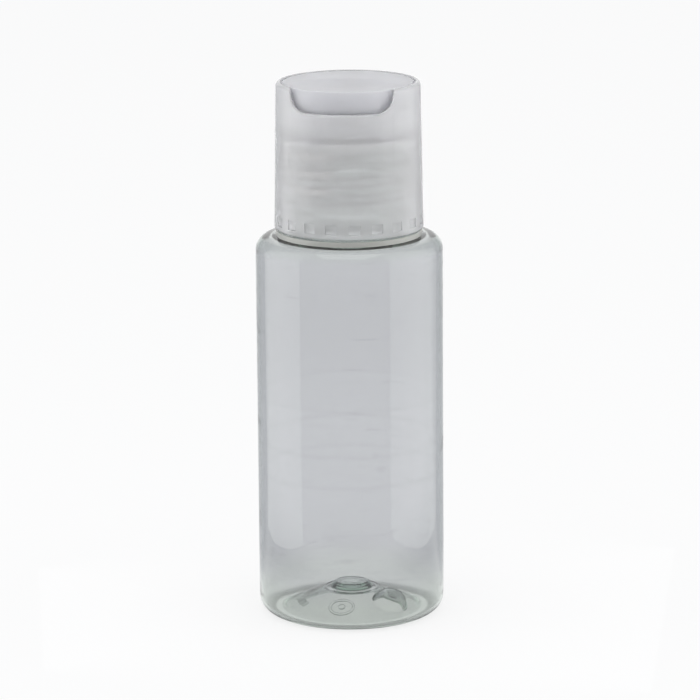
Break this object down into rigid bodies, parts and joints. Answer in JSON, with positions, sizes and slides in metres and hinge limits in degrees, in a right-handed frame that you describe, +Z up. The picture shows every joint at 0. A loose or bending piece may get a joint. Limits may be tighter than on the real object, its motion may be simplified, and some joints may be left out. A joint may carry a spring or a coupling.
{
  "type": "refillable bottle",
  "caption": "Clear refillable bottle with a screw neck, a foam-lined screw cap and a rocking disc that is pressed at a thumb notch to raise its nozzle",
  "frame": {"origin": "centre of the circle on which the bottle stands", "axes": "+Z up along the bottle, -Y towards the thumb notch, +X to the right seen from the notch"},
  "size_m": [0.0344, 0.0344, 0.1],
  "materials": {
    "clear_pet": "clear gloss plastic",
    "white_foam": "fine closed foam",
    "frosted_pp": "natural translucent, satin",
    "frosted_disc_pp": "natural translucent, satin"
  },
  "bodies": {
    "bottle": {"bottle": "clear_pet"},
    "cap_liner": {"cap_liner": "white_foam"},
    "cap": {"cap": "frosted_pp"},
    "press_disc": {"press_disc": "frosted_disc_pp"}
  },
  "joints": [
    {"name": "cap_lift", "type": "slide", "parent": "bottle", "child": "cap_liner", "axis": [0, 0, 1], "range_m": [0, 0.02116]},
    {"name": "cap_twist", "type": "hinge", "parent": "cap_liner", "child": "cap", "pos_m": [0, 0, 0.0895], "axis": [0, 0, 1], "range_deg": [0, 2400]},
    {"name": "disc_tilt", "type": "hinge", "parent": "cap", "child": "press_disc", "pos_m": [0, 0, 0.09797], "axis": [1, 0, 0], "range_deg": [0, 19]}
  ],
  "couplings": [
    {"joint": "cap_twist", "follows": "cap_lift", "rad_per_m": 1979}
  ]
}
